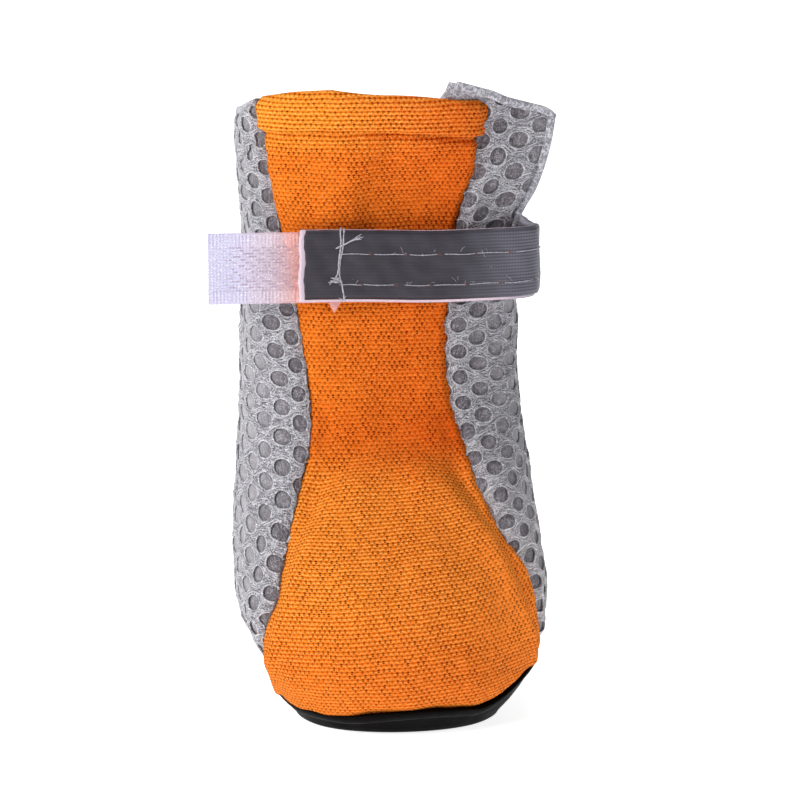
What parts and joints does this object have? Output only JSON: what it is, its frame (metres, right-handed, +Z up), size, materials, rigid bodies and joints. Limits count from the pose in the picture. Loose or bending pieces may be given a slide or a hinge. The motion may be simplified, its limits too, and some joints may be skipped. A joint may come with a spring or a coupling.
{
  "type": "dog boot",
  "caption": "Small dog boot with a knitted front, spacer-mesh sides, an open back closed by a wrap strap, and a low rubber sole with hexagonal lugs",
  "frame": {"origin": "on the floor, at the middle of the flat lug under the centre of the sole", "axes": "+Z up, toe towards -Y, heel towards +Y, +X to the side where the collar flap stands open and the strap turns"},
  "size_m": [0.0493, 0.0536, 0.0894],
  "materials": {
    "sole_rubber": "black moulded rubber, satin, fine moulding grain",
    "insole_felt": "dark grey brushed lining cloth over thin foam",
    "upper_knit": "orange double knit in fine courses, matte",
    "spacer_mesh": "silver grey spacer mesh with open oval cells over a darker back layer",
    "strap_tape": "white woven tape",
    "reflective_tape": "dark silver reflective tape, fine cross ribs",
    "hook_tape": "clear white nylon hook tape with ribbed edges",
    "sewing_thread": "white twisted sewing thread"
  },
  "bodies": {
    "root": {"outsole": "sole_rubber", "insole": "insole_felt", "upper": "upper_knit", "strap_base": "strap_tape", "strap_reflective": "reflective_tape", "strap_hook_end": "hook_tape"}
  },
  "joints": []
}
